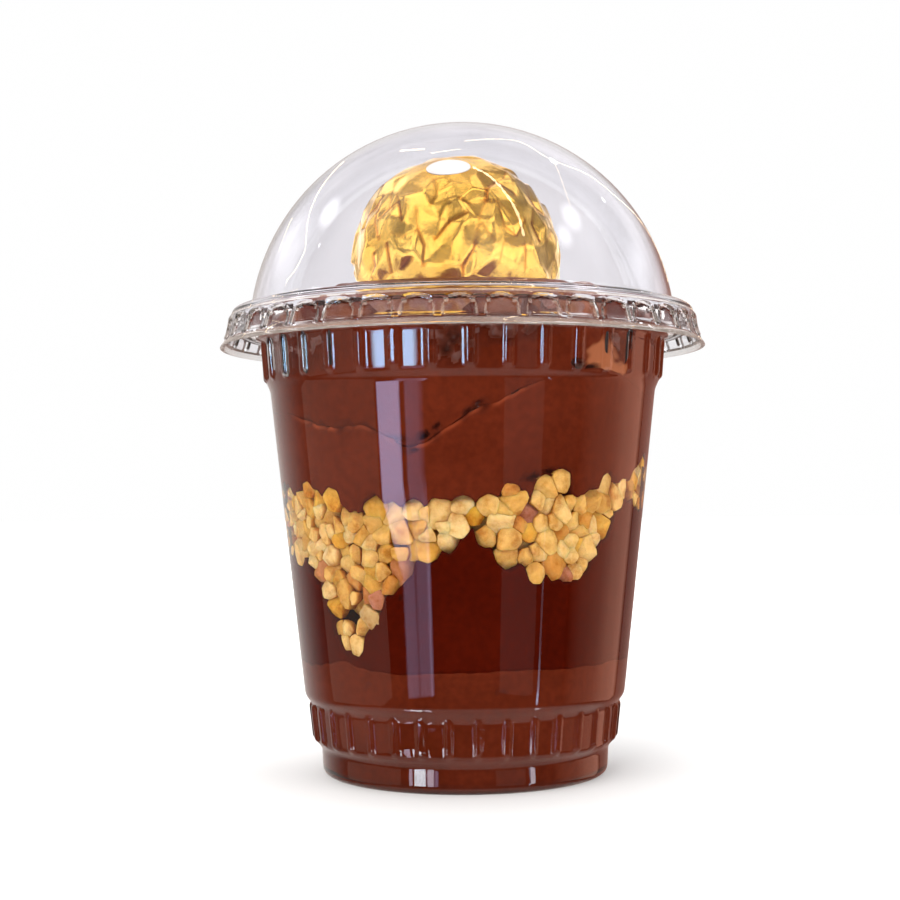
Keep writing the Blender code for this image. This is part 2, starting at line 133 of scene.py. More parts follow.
def nut_top(turn):
    return NUT_TOP_LEVEL + swells(turn, NUT_TOP_SWELLS)


def nut_bottom(turn):
    return np.maximum(NUT_BOTTOM_LEVEL + swells(turn, NUT_BOTTOM_SWELLS), base_top(turn) + 2.0)


def seam(turn):
    return SEAM_LEVEL + swells(turn, SEAM_SWELLS)


def smooth(low, high, value):
    t = np.clip((np.asarray(value, float) - low) / (high - low), 0.0, 1.0)
    return t * t * (3.0 - 2.0 * t)


def wall(z):
    """Inside radius of the cup, with its bends rounded off."""
    radii = [r for r, _ in INSIDE]
    heights = [h for _, h in INSIDE]
    z = np.asarray(z, float)
    return sum(np.interp(z + off, heights, radii) for off in (-0.7, -0.35, 0.0, 0.35, 0.7)) / 5.0


def waves(points, scale, seed, count=24):
    """Cheap smooth noise, about -1 to 1, as a sum of waves in random directions."""
    rng = np.random.default_rng(seed)
    aim = rng.normal(size=(count, 3))
    aim /= np.linalg.norm(aim, axis=1)[:, None]
    rate = rng.uniform(0.6, 1.5, count) * 2.0 * pi / scale
    shift = rng.uniform(0.0, 2.0 * pi, count)
    value = np.sin(points @ (aim * rate[:, None]).T + shift).sum(axis=-1)
    return value / sqrt(0.5 * count) * 0.6


def polar(radius, turn, z):
    """Point at a distance from the cup's axis, an azimuth and a height."""
    a = np.radians(turn)
    return np.stack([radius * np.sin(a), -radius * np.cos(a), z + 0.0 * a], axis=-1)


def make_object(name, points, faces):
    mesh = bpy.data.meshes.new(name)
    mesh.from_pydata((np.asarray(points) * MM).tolist(), [], faces)
    bm = bmesh.new()
    bm.from_mesh(mesh)
    bmesh.ops.recalc_face_normals(bm, faces=bm.faces)
    bm.to_mesh(mesh)
    bm.free()
    for polygon in mesh.polygons:
        polygon.use_smooth = True
    ob = bpy.data.objects.new(name, mesh)
    bpy.context.scene.collection.objects.link(ob)
    return ob


def mark(ob, name, values):
    """Keeps a number or a colour for each point of a mesh, which a material reads."""
    values = np.asarray(values, np.float32)
    kind, field = ("FLOAT", "value") if values.ndim == 1 else ("FLOAT_COLOR", "color")
    ob.data.attributes.new(name, kind, "POINT").data.foreach_set(field, values.ravel())


def grid(first, rows, columns, closed=True):
    """Quads between rows of points, of which the first has the given number."""
    faces = []
    for a in range(first, first + (rows - 1) * columns, columns):
        for i in range(columns if closed else columns - 1):
            j = (i + 1) % columns
            faces.append((a + i, a + j, a + columns + j, a + columns + i))
    return faces


def rings_to_object(name, rings, start, end):
    """Closed piece from rings, with a point at each end, or the height of one on the axis."""
    rings = np.asarray(rings)
    rows, columns = rings.shape[:2]
    ends = [p if np.ndim(p) else (0.0, 0.0, p) for p in (start, end)]
    faces, last = grid(2, rows, columns), 2 + (rows - 1) * columns
    for i in range(columns):
        j = (i + 1) % columns
        faces += [(0, 2 + j, 2 + i), (1, last + i, last + j)]
    return make_object(name, ends + rings.reshape(-1, 3).tolist(), faces)


def rounded(points, cut):
    """Profile with its corners cut back and bent round."""
    points = [np.array(p, float) for p in points]
    out = [points[0]]
    for before, here, after in zip(points, points[1:], points[2:]):
        a = min(cut, 0.45 * np.linalg.norm(before - here))
        b = min(cut, 0.45 * np.linalg.norm(after - here))
        first = here + (before - here) / np.linalg.norm(before - here) * a
        last = here + (after - here) / np.linalg.norm(after - here) * b
        for t in (0.0, 0.25, 0.5, 0.75, 1.0):
            out.append((1 - t) ** 2 * first + 2 * t * (1 - t) * here + t * t * last)
    return out + [points[-1]]


def stepped(points, longest):
    """Profile with points added where they are further apart than longest(height)."""
    out = [points[0]]
    for a, b in zip(points, points[1:]):
        count = max(1, ceil(np.linalg.norm(b - a) / longest(0.5 * (a[1] + b[1]))))
        out += [a + (b - a) * i / count for i in range(1, count + 1)]
    return np.array(out)


def rib_columns(count, half, flank, between):
    """Azimuths of all columns, each one's offset from its rib, and the pitch, close on the ribs."""
    pitch = 360.0 / count
    rib = [-half - flank, -half - 0.5 * flank, -half, -0.5 * half, 0.0]
    rib = rib + [-t for t in rib[-2::-1]]
    gap = pitch - 2.0 * (half + flank)
    rib += [half + flank + gap * (i + 1) / (between + 1) for i in range(between)]
    return np.array([k * pitch + off for k in range(count) for off in rib]), np.tile(rib, count), pitch


def build_cup():
    rise, half, flank = CUP_RIB
    to_deg = degrees(1.0 / CUP_RIB_R)
    turns, local, pitch = rib_columns(CUP_RIBS, half * to_deg, flank * to_deg, 5)
    rising = 1.0 - smooth(half, half + flank, np.abs(local) / to_deg)
    # between two ribs the band is nearly flat
    from_middle = np.abs(wrapped(local, pitch)) - 0.5 * pitch
    sag = 1.0 / np.cos(np.radians(from_middle)) - 1.0 - (1.0 / cos(radians(0.5 * pitch)) - 1.0)
    outer = stepped(rounded(OUTSIDE, 0.7), lambda z: 0.52 if 5.0 < z < 14.0 or 64.0 < z < 77.0 else 3.0)
    heights = np.concatenate([np.arange(75.8, 64.0, -0.7), np.arange(63.5, 14.5, -2.4),
                              np.arange(14.2, 1.6, -0.7)])
    inner = np.stack([wall(heights), heights], axis=1)
    rings = []
    for row, (radius, z) in enumerate(np.concatenate([outer[1:], inner, np.array(GROOVE)])):
        twist = LOW_RIBS[2] + (HIGH_RIBS[2] - LOW_RIBS[2]) * smooth(14.0, 62.0, z)
        band = 0.0
        for low, high, _ in (LOW_RIBS, HIGH_RIBS):
            band += smooth(low - 0.4, low + 0.4, z) * (1.0 - smooth(high - 0.5, high + 0.5, z))
        outside = row < len(outer) - 1
        r = radius + band * outside * (rise * rising + 0.6 * radius * sag)
        rings.append(polar(r, turns + twist, z))
    return rings_to_object("cup_clear", rings, OUTSIDE[0][1], GROOVE[-1][1])


def build_lid():
    rise, half, flank = LID_RIB
    to_deg = degrees(1.0 / LID_RIB_R)
    turns, local, pitch = rib_columns(LID_RIBS, half * to_deg, flank * to_deg, 6)
    from_panel = (0.5 * pitch - np.abs(wrapped(local, pitch))) / to_deg

    def dome(radius, lowest):
        start = asin((lowest - DOME[1]) / radius)
        ups = [start + (0.5 * pi - start) * i / 30 for i in range(30)]
        return [np.array((radius * cos(u), DOME[1] + radius * sin(u))) for u in ups]

    outer = dome(DOME[0], 79.2)[::-1]
    inner = dome(DOME[0] - DOME_T, 79.0)
    skirt = stepped(rounded(SKIRT, 0.5), lambda z: 0.32)
    profile = np.array(outer + list(skirt) + inner)
    lowest = int(np.argmin(profile[:, 1]))
    foot, height, width = ARCH
    rings = []
    for row, (radius, z) in enumerate(profile):
        across = (from_panel / width) ** 2.6
        upward = np.clip((z - foot) / height, 0.0, 2.0) ** 2.2
        level = 1.0 - smooth(-0.1, 0.25, 1.0 - across - upward)
        band = smooth(72.7, 73.2, z) * (1.0 - smooth(76.4, 77.4, z))
        share = 1.0 if row <= lowest else 0.8
        rings.append(polar(radius + rise * band * level * share, LID_PHASE + turns, z))
    top = DOME[0] + DOME[1]
    return rings_to_object("lid_clear", rings, top, top - DOME_T)


def clip(polygon, point, normal):
    """Part of a convex polygon on the far side of a line from its normal."""
    out = []
    for a, b in zip(polygon, polygon[1:] + polygon[:1]):
        da = (a[0] - point[0]) * normal[0] + (a[1] - point[1]) * normal[1]
        db = (b[0] - point[0]) * normal[0] + (b[1] - point[1]) * normal[1]
        if da <= 0.0:
            out.append(a)
        if (da < 0.0 < db) or (db < 0.0 < da):
            t = da / (da - db)
            out.append((a[0] + t * (b[0] - a[0]), a[1] + t * (b[1] - a[1])))
    return out


def in_tail(turn, z):
    across = abs(turn - TAIL[0]) * radians(UNROLL)
    return TAIL[2] < z < TAIL[3] and across < TAIL[1] * (0.75 + 0.25 * smooth(TAIL[2], TAIL[3], z))


def scatter(rng, low, high, spacing, tries, tail):
    """Random points on the unrolled wall inside the band of nuts, no two too close."""
    chosen = []
    for _ in range(tries):
        s = rng.uniform(0.0, AROUND)
        z = rng.uniform(20.0, 56.0)
        turn = degrees(s / UNROLL)
        turn = turn - 360.0 if turn > 180.0 else turn
        inside = float(nut_bottom(turn)) + low < z < float(nut_top(turn)) - high
        inside = inside and not (abs(turn - TAIL[0]) < 9.0 and z < TAIL[3] + 2.5)
        if not inside and not (tail and in_tail(turn, z)):
            continue
        own = rng.uniform(*spacing)
        for other, height, _ in chosen:
            across = abs(s - other)
            across = min(across, AROUND - across)
            if across * across + (z - height) ** 2 < own * own:
                break
        else:
            chosen.append((s, z, own))
    return chosen


def cells(points, rng, recessed):
    """Outline of each piece among its neighbours on the unrolled wall, some of them set back."""
    out = []
    for s, z, own in points:
        size = 0.62 * own + 0.7
        corners = rng.choice((6, 7, 8))
        spin = rng.uniform(0.0, 1.0)
        polygon = []
        for i in range(corners):
            a = 2.0 * pi * (i + spin) / corners
            polygon.append((size * rng.uniform(0.85, 1.12) * cos(a),
                            size * rng.uniform(0.85, 1.12) * sin(a)))
        back = rng.random() < recessed
        for other, height, wide in points:
            ds, dz = wrapped(other - s, AROUND), height - z
            far = hypot(ds, dz)
            if 0.0 < far < NEAREST:
                n = (ds / far, dz / far)
                overlaps = rng.random() < 0.88
                half = 0.5 * far + 0.22 * (own - wide)
                half += rng.uniform(0.05, 0.42) if overlaps else rng.uniform(-0.5, -0.05)
                half += 0.4 if back else 0.0
                polygon = clip(polygon, (n[0] * half, n[1] * half), n)
        if len(polygon) > 2:
            out.append((s, z, polygon, back))
    return out


def softened(polygon, cut):
    """Closed outline with its corners cut back."""
    out = []
    for a, b in zip(polygon, polygon[1:] + polygon[:1]):
        out.append((a[0] + (b[0] - a[0]) * cut, a[1] + (b[1] - a[1]) * cut))
        out.append((b[0] + (a[0] - b[0]) * cut, b[1] + (a[1] - b[1]) * cut))
    return out


# rings of a piece from the back to its face: share of its outline and depth behind the face
NUT_RINGS = ((1.0, 2.2), (1.03, 1.4), (1.03, 0.9), (1.01, 0.36), (0.97, 0.13), (0.9, 0.03),
             (0.65, 0.0), (0.3, 0.0))


def nut_piece(rng, s, z, polygon, depth, thick):
    """One chopped piece: rings of (along the wall, height, depth behind the wall, share of rim). The
    share of rim sets how much painted shade a point gets.
    """
    mu = sum(p[0] for p in polygon) / len(polygon)
    mv = sum(p[1] for p in polygon) / len(polygon)
    outline = softened(polygon, 0.17)
    size = sum(hypot(a - mu, b - mv) for a, b in outline) / len(outline)
    cuts = []
    for _ in range(rng.choice((2, 3, 4, 5))):
        turn = rng.uniform(0.0, 2.0 * pi)
        cuts.append((cos(turn), sin(turn), rng.uniform(0.2, 1.1), rng.uniform(0.05, 0.6) * size))
    rough = [rng.uniform(0.0, 6.3) for _ in range(3)]
    rings = []
    for share, behind in NUT_RINGS:
        ring = []
        for a, b in outline:
            u, v = (a - mu) * share, (b - mv) * share
            deep = behind * min(1.0, 0.45 * size)
            for cu, cv, slope, start in cuts:
                plane = slope * (cu * u + cv * v - start)
                deep = max(deep, plane) + 0.03 * exp(-abs(deep - plane) / 0.06)
            deep += 0.07 * sin(3.1 * u + rough[0]) * sin(3.3 * v + rough[1])
            ring.append((s + mu + u, z + mv + v, depth + max(0.0, deep), min(1.0, behind / 1.1)))
        rings.append(ring)
    return rings, (s + mu, z + mv, depth + thick, 1.0), (s + mu, z + mv, depth + 0.02, 0.0)


def wall_point(s, z, depth):
    a = s / UNROLL
    r = float(wall(z)) + NUT_REACH - depth
    return (r * sin(a), -r * cos(a), z)


def build_nuts():
    rng = random.Random(SEED)
    front = cells(scatter(rng, 0.8, 0.6, (1.5, 4.5), 16000, True), rng, 0.22)
    behind = cells(scatter(rng, 1.4, 1.4, (2.6, 3.8), 6000, False), rng, 1.0)
    points, faces, kinds_and_painted_shade = [], [], []
    # the back row gets 0.35 more painted shade, which stands in for the shade behind the front pieces
    for row, depth, thick, dark in ((front, 0.0, 3.0, 0.0), (behind, 1.7, 5.0, 0.35)):
        for s, z, polygon, set_back in row:
            own_depth = depth + (rng.uniform(0.2, 0.9) if set_back else rng.uniform(0.0, 0.06))
            rings, back, middle = nut_piece(rng, s, z, polygon, own_depth, thick)
            kind, spare = rng.random(), rng.random()
            if kind < 0.93 and YELLOWER[0] < degrees(s / UNROLL) < YELLOWER[1]:
                kind = min(0.93, kind + 0.12)
            first, count = len(points), len(rings[0])
            for p in [back] + sum(rings, []) + [middle]:
                points.append(wall_point(*p[:3]))
                kinds_and_painted_shade.append((kind, spare, min(1.0, p[3] + dark), 1.0))
            last = len(points) - 1
            faces += grid(first + 1, len(rings), count)
            for i in range(count):
                j = (i + 1) % count
                faces += [(first, first + 1 + j, first + 1 + i),
                          (last - count + i, last - count + j, last)]
    core_points, core_faces = nut_core(len(points))
    ob = make_object("nuts", points + core_points, faces + core_faces)
    # the core gets the darkest kind and full painted shade
    mark(ob, "tint", kinds_and_painted_shade + [(0.0, 0.0, 1.0, 1.0)] * len(core_points))
    return ob, front


def nut_core(first):
    """The middle of the nut layer, closed by a lid and a floor, coloured almost black as painted shade
    in the gaps between the pieces.
    """
    turns = np.arange(0.0, 360.0, 2.5)
    low = nut_bottom(turns) + 0.3
    high = nut_top(turns) - 0.3
    rings = []
    for share, z in ((0.5, 0.3 * low + 0.7 * NUTS_MIDDLE[0]), (0.9, low), (1.0, low + 0.6),
                     (1.0, high - 0.6), (0.9, high), (0.5, 0.3 * high + 0.7 * NUTS_MIDDLE[1])):
        rings.append(polar(share * (wall(z) - 4.2), turns, z))
    columns, last = len(turns), first + (len(rings) - 1) * len(turns)
    faces = grid(first, len(rings), columns)
    faces += [list(range(first, first + columns))[::-1], list(range(last, last + columns))]
    return [tuple(p) for ring in rings for p in ring], faces


def envelope(front, turns, plain, upper, reach):
    """Edge of a layer against the nuts, following the outlines of the pieces on the wall."""
    edge = np.full(len(turns), np.nan)
    along = np.radians(turns) * UNROLL
    for s, z, polygon, _ in front:
        for a, b in zip(polygon, polygon[1:] + polygon[:1]):
            if abs(b[0] - a[0]) < 1e-6:
                continue
            t = (wrapped(along - s, AROUND) - a[0]) / (b[0] - a[0])
            height = z + a[1] + t * (b[1] - a[1])
            better = np.isnan(edge) | ((height > edge) if upper else (height < edge))
            better &= (t >= 0.0) & (t <= 1.0)
            edge[better] = height[better]
    known = ~np.isnan(edge)
    edge = np.interp(turns, turns[known], edge[known], period=360.0)
    edge = np.clip(edge, plain - reach[0], plain + reach[1])
    return 0.25 * (np.roll(edge, 1) + np.roll(edge, -1)) + 0.5 * edge


def dents(points, turns, z, items):
    """Depth by which the contents stand off the wall at places where they don't touch it."""
    total = np.zeros_like(turns + z)
    for turn, height, half_width, half_height, depth, lean in items:
        across, up = wrapped(turns - turn) * radians(UNROLL), z - height
        c, s = cos(radians(lean)), sin(radians(lean))
        u = (c * across + s * up) / half_width
        v = (-s * across + c * up) / half_height
        total = np.maximum(total, depth * np.exp(-1.2 * (u * u + v * v) ** 1.5))
    return total * (1.0 + 0.5 * waves(points, 3.0, 5))


def layer_rings(turns, edges, levels, rows, rounding, hollows, ease=1.0):
    """Rings of a layer from the middle of its underside, up its side, to the middle of its top."""
    (low, high), (round_low, round_high) = edges, rounding

    def face(edge, level, share):
        z = level + (edge - level) * share ** 3
        return polar(share * (wall(edge) - 0.9), turns, z)

    rings = [face(low, levels[0], share) for share in LAYER_SHARES]
    for step in range(rows + 1):
        z = low + (high - low) * (1.0 - (1.0 - step / rows) ** ease)
        sink = round_low * np.exp(-((z - low) / (0.35 + 0.5 * round_low)) ** 2)
        sink += round_high * np.exp(-((high - z) / (0.35 + 0.5 * round_high)) ** 2)
        off = dents(polar(wall(z), turns, z), turns, z, hollows)
        rings.append(polar(wall(z) + REACH - sink - off, turns, z))
    return rings + [face(high, levels[1], share) for share in reversed(LAYER_SHARES)]


def foot_rings(turns):
    """Underside of the lowest layer, which fills the groove in the foot of the cup."""
    under = ((12.0, 1.75), (20.85, 1.75), (22.05, 0.66), (22.95, 0.66), (23.27, 0.92))
    return [polar(r, turns, z) for r, z in under]


# places where the contents stand off the wall: azimuth, height, half width, half height, depth, lean
BASE_HOLLOWS = ((-34, 17.2, 0.8, 0.25, 0.5, 12), (12, 16.4, 1.2, 0.16, 0.4, -6))
DARK_HOLLOWS = ((30, 36.2, 1.2, 0.5, 1.2, 10), (-20, 31, 0.4, 0.3, 0.8, 0))
MIDDLE_HOLLOWS = ((20, 49.4, 1.6, 0.35, 1.6, 8), (26, 50.4, 1.4, 0.35, 1.6, 0),
                  (-14, 53.6, 0.7, 0.3, 1, 12))
TOP_HOLLOWS = ((-52, 70.6, 9, 3.4, 1, 0), (-3.5, 69.8, 3, 3.6, 2.4, 4),
               (15, 73, 7.6, 2.4, 2, 12), (33, 66.9, 1, 0.5, 2.6, -8),
               (38, 66.4, 1.2, 0.45, 2.4, 10), (48, 71, 2.2, 3, 1.4, 0),
               (-11, 55.9, 0.9, 0.35, 2.4, 24), (-7.5, 57.2, 0.7, 0.3, 1.8, 34),
               (1, 59.5, 0.8, 0.25, 1.8, 34), (4, 60.6, 0.9, 0.22, 1.6, 30),
               (-19, 55.4, 1.6, 0.25, 1.4, 0))
# painted light: paler spots on the side of the heap where lumps look lit from above: azimuth, height,
# half width, half height, strength
PAINTED_LIT_SPOTS = ((41, 68.2, 3.4, 2.6, 1), (47, 66.6, 3, 0.9, 0.9), (-30, 74.6, 5, 0.8, 0.5),
              (12, 75.2, 6, 0.7, 0.5), (33, 74.9, 3, 0.7, 0.6), (-48, 75, 3, 0.8, 0.5))


def points_of(ob):
    """Points of a mesh in millimetres, and their azimuths."""
    points = np.array([v.co for v in ob.data.vertices]) / MM
    return points, np.degrees(np.arctan2(points[:, 0], -points[:, 1]))


def pale_lip(ob, turns, edge, strength):
    """Marks the side of a layer just below its upper edge."""
    points, turn = points_of(ob)
    down = np.interp(turn, turns, edge, period=360.0) - points[:, 2]
    near = np.hypot(points[:, 0], points[:, 1]) > wall(points[:, 2]) - 1.5
    lip = np.where(near, np.exp(-((down - 0.2) / 0.38) ** 2), 0.0)
    mark(ob, "lip", lip * np.interp(turn, turns, strength, period=360.0))


def paint_lit_spots(ob):
    """Marks the paler spots on the side of the heap, painted light where lumps look lit from above."""
    points, turn = points_of(ob)
    ragged = np.clip(1.0 + 0.5 * waves(points, 2.2, 27), 0.6, 1.8)
    lip = np.zeros(len(points))
    for azimuth, height, half_width, half_height, strength in PAINTED_LIT_SPOTS:
        across = wrapped(turn - azimuth) * radians(35.0)
        far = (across / half_width) ** 2 + ((points[:, 2] - height) / half_height) ** 2
        lip = np.maximum(lip, strength * (1.0 - smooth(0.5, 1.3, far * ragged)))
    mark(ob, "lip", lip)


def build_layers(front):
    turns = np.arange(COLUMNS) * 360.0 / COLUMNS - 180.0
    wide = polar(30.0, turns, 0.0)
    low_nuts = envelope(front, turns, tail_bottom(turns), False, (1.6, 2.6)) + 0.1
    high_nuts = envelope(front, turns, nut_top(turns), True, (2.4, 1.6)) - 0.1
    base_edge = base_top(turns) + 0.12 * waves(wide, 4.0, 21)
    # the seam is ragged and a little open from the far left to just right of the middle
    open_seam = smooth(-62.0, -48.0, turns) * (1.0 - smooth(14.0, 24.0, turns))
    ragged = 0.35 * waves(wide, 7.0, 22) + 0.12 * waves(wide, 2.2, 23)
    seam_edge = seam(turns) + ragged * open_seam
    gap = open_seam * np.clip(0.03 + 0.10 * waves(wide, 3.0, 24), 0.0, 0.2)
    groove = open_seam * np.clip(0.2 + 0.5 * waves(wide, 2.6, 25), 0.0, 0.9)
    side = layer_rings(turns, (np.full(COLUMNS, 1.3), base_edge), (1.3, BASE_MIDDLE[1]), 34, (0.0, 0.0),
                       BASE_HOLLOWS)
    low = rings_to_object("mousse_low", foot_rings(turns) + side[len(LAYER_SHARES):], *BASE_MIDDLE)
    rings = layer_rings(turns, (base_edge, low_nuts), DARK_MIDDLE, 30, (0.0, 0.14), DARK_HOLLOWS)
    dark = rings_to_object("mousse_dark_fill", rings, *DARK_MIDDLE)
    rings = layer_rings(turns, (high_nuts, seam_edge - gap), MILK_MIDDLE, 40, (0.14, groove),
                        MIDDLE_HOLLOWS, 1.35)
    milk = rings_to_object("mousse_mid", rings, *MILK_MIDDLE)
    pale_lip(milk, turns, seam_edge - gap,
             open_seam * np.clip(0.75 + 0.9 * waves(wide, 3.0, 26), 0.0, 1.0))
    heap = rings_to_object("mousse_heap", top_rings(turns, seam_edge + gap, groove), HEAP_MIDDLE,
                           (*BALL_AT[:2], BALL_AT[2] - SEAT_R))
    paint_lit_spots(heap)
    return low, dark, milk, heap


def tail_bottom(turns):
    across = np.abs(turns - TAIL[0]) * radians(UNROLL)
    inside = 1.0 - smooth(TAIL[1] - 0.6, TAIL[1] + 0.6, across)
    return nut_bottom(turns) * (1.0 - inside) + (TAIL[2] - 0.4) * inside


def top_rings(turns, seam_edge, groove):
    """Rings of the heap: its side on the wall, its open top and the hollow under the ball."""
    edge = 75.4 + swells(turns, TOP_LUMPS)
    wide = polar(33.0, turns, 75.0)
    edge = edge + 0.5 * waves(wide, 9.0, 31) + 0.25 * waves(wide, 3.5, 32)
    rings = layer_rings(turns, (seam_edge, edge), (HEAP_MIDDLE, 70.0), 40, (groove, 0.3), TOP_HOLLOWS)
    rings = rings[:-len(LAYER_SHARES)]
    outer = rings[-1]
    crest = 80.6 + 0.5 * waves(wide, 14.0, 33) + swells(turns, ((48, 30, 1.4), (-30, 30, -0.6)))
    lip = np.sqrt(SEAT_R ** 2 - (crest - BALL_AT[2]) ** 2)
    aside = np.array((*BALL_AT[:2], 0.0))
    lip_at = polar(lip, turns, crest) + aside
    for step in range(1, HEAP_ROWS + 1):
        t = step / HEAP_ROWS
        point = outer + (lip_at - outer) * t
        z = outer[:, 2] + (crest - outer[:, 2]) * (0.3 * t + 0.7 * t ** 2.2)
        lump = 0.8 * waves(point, 7.5, 34) + 0.4 * waves(point, 3.0, 35)
        z = z + lump * sin(pi * min(1.0, 0.06 + t)) ** 0.6
        rings.append(np.stack([point[:, 0], point[:, 1], z], axis=-1))
    for share in (0.93, 0.8, 0.62, 0.4, 0.2):
        r = lip * share
        rings.append(polar(r, turns, BALL_AT[2] - np.sqrt(SEAT_R ** 2 - r ** 2)) + aside)
    return rings


def outward(turn, up):
    """Direction at an azimuth and elevation in radians."""
    return cos(up) * sin(turn), -cos(up) * cos(turn), sin(up)


def foil_corners(rng):
    """Directions of the corners of the crumpled foil, closer sideways than upwards."""
    out = [(0.0, 0.0, -1.0), (0.0, 0.0, 1.0)]
    up = -80.0
    while up < 84.0:
        step, aside = (3.6, 1.7) if up < 22.0 else (2.5, 2.1)
        count = max(4, round(2.0 * pi * BALL_R * cos(radians(up)) / aside))
        start = rng.uniform(0.0, 1.0)
        for k in range(count):
            turn = 2.0 * pi * (k + start + rng.uniform(-0.38, 0.38)) / count
            lift = radians(up) + rng.uniform(-0.42, 0.42) * step / BALL_R
            out.append((cos(lift) * cos(turn), cos(lift) * sin(turn), sin(lift)))
        up += degrees(step / BALL_R)
    return out


def averaged(values, edges):
    """Each value drawn half way to the mean of its neighbours on the mesh."""
    degree, total = np.zeros(len(values)), np.zeros(len(values))
    for here, there in (edges.T, edges.T[::-1]):
        np.add.at(degree, here, 1.0)
        np.add.at(total, here, values[there])
    return 0.5 * values + 0.5 * total / degree


def build_ball():
    """Crumpled foil: flat facets between random corners, with creases where they fold inwards, which the
    foil material darkens as painted shade.
    """
    rng = random.Random(SEED + 5)
    bm = bmesh.new()
    for corner in foil_corners(rng):
        bm.verts.new(corner)
    bmesh.ops.convex_hull(bm, input=bm.verts[:])
    bmesh.ops.recalc_face_normals(bm, faces=bm.faces[:])
    for v in bm.verts:
        # calm is 0 under the label, which lies on smooth foil
        unit = np.array(v.co) / v.co.length
        calm = float(smooth(0.24, 0.5, np.linalg.norm(unit - label_axis())))
        height = 0.4 * float(waves(unit[None, :], 0.5, 41)[0]) + rng.gauss(0.1, 0.29)
        v.co = Vector(unit) * (BALL_R + max(-1.2, min(0.55, height)) * (0.06 + 0.94 * calm))
    bm.normal_update()
    creases = {}
    for e in bm.edges:
        along = (e.verts[0].co - e.verts[1].co).normalized()
        depth = max(0.0, min(1.0, (-e.calc_face_angle_signed(0.0) - 0.1) / 0.45))
        depth *= 0.35 + 0.65 * abs(along.z)
        for k in range(5):
            key = tuple(round(c, 3) for c in e.verts[0].co.lerp(e.verts[1].co, 0.25 * k))
            creases[key] = max(depth, creases.get(key, 0.0))
    bmesh.ops.subdivide_edges(bm, edges=bm.edges[:], cuts=3, use_grid_fill=True)
    bmesh.ops.triangulate(bm, faces=bm.faces[:])
    points = np.array([v.co for v in bm.verts])
    fold = np.array([creases.get(tuple(round(c, 3) for c in v.co), 0.0) for v in bm.verts])
    edges = np.array([[v.index for v in e.verts] for e in bm.edges])
    faces = [[v.index for v in f.verts] for f in bm.faces]
    bm.free()
    radius = np.linalg.norm(points, axis=1)
    points = points / radius[:, None] * averaged(radius, edges)[:, None] + BALL_AT
    ob = make_object("foil_wrap", points, faces)
    # how deep each crease is, which the foil material turns into painted shade
    mark(ob, "fold", np.stack([fold] * 4, axis=-1))
    return ob


def label_axis():
    return np.array(outward(radians(LABEL_TURN), radians(LABEL_UP)))


def build_label():
    axis = label_axis()
    side = np.cross((0.0, 0.0, 1.0), axis)
    side = side / np.linalg.norm(side)
    upward = np.cross(axis, side)
    rings = []
    turns = np.linspace(0.0, 2.0 * pi, 64, endpoint=False)
    for share, lift in ((0.5, -0.25), (0.97, -0.25), (1.0, -0.12), (1.0, 0.0), (0.97, 0.06), (0.8, 0.08),
                        (0.4, 0.08)):
        a = LABEL_SIZE[0] * share * np.cos(turns)
        b = LABEL_SIZE[1] * share * np.sin(turns)
        aim = axis[None] * BALL_R + a[:, None] * side + b[:, None] * upward
        aim /= np.linalg.norm(aim, axis=1)[:, None]
        rings.append(aim * (BALL_R + lift) + BALL_AT)
    return rings_to_object("blank_label", rings, BALL_AT + axis * (BALL_R - 0.25),
                           BALL_AT + axis * (BALL_R + 0.08))


def add(tree, kind, sockets=None, **settings):
    """A node with its settings. Each socket is set to a number or linked to a node or an output."""
    node = tree.nodes.new("ShaderNode" + kind)
    for key, value in settings.items():
        setattr(node, key, value)
    for key, value in (sockets or {}).items():
        if isinstance(value, bpy.types.Node):
            value = value.outputs[0]
        if isinstance(value, bpy.types.NodeSocket):
            tree.links.new(value, node.inputs[key])
        else:
            node.inputs[key].default_value = value
    return node


def ramp(tree, factor, stops):
    node = add(tree, "ValToRGB", {"Fac": factor})
    elements = node.color_ramp.elements
    while len(elements) < len(stops):
        elements.new(0.5)
    for element, (place, colour) in zip(elements, stops):
        element.position = place
        element.color = (*colour, 1)
    return node.outputs["Color"]


def noise(tree, scale, detail=3, coords=None, roughness=0.5):
    coords = coords or add(tree, "TexCoord").outputs["Object"]
    return add(tree, "TexNoise", {"Vector": coords, "Scale": scale, "Detail": detail,
                                  "Roughness": roughness}).outputs["Fac"]


def calc(tree, operation, a, b):
    return add(tree, "Math", {0: a, 1: b}, operation=operation)


def remap(tree, value, start, end, first=0, last=1, ease="LINEAR"):
    return add(tree, "MapRange", {0: value, 1: start, 2: end, 3: first, 4: last},
               interpolation_type=ease)


def blend(tree, share, a, b, how="MIX"):
    return add(tree, "Mix", {0: share, 6: a, 7: b}, data_type="RGBA", blend_type=how).outputs[2]


def times(tree, a, b):
    return blend(tree, 1, a, b, "MULTIPLY")


def attribute(tree, name, output="Fac"):
    return add(tree, "Attribute", attribute_name=name).outputs[output]


def emission(tree, colour, strength):
    return add(tree, "Emission", {"Color": (*colour, 1), "Strength": strength})


def mixed(tree, share, a, b):
    return add(tree, "MixShader", {0: share, 1: a, 2: b})


def new_material(name):
    material = bpy.data.materials.new(name)
    material.use_nodes = True
    material.node_tree.nodes.clear()
    return material, material.node_tree


def close(tree, shader):
    add(tree, "OutputMaterial", {"Surface": shader})


def surface(tree, colour, roughness, relief, strength, depth, extra=None):
    """Closes a material with its main shader and a fine relief, whose depth is in metres."""
    lift = add(tree, "Bump", {"Strength": strength, "Distance": depth, "Height": relief})
    close(tree, add(tree, "BsdfPrincipled", {"Base Color": colour, "Roughness": roughness,
                                             "Normal": lift, **(extra or {})}))


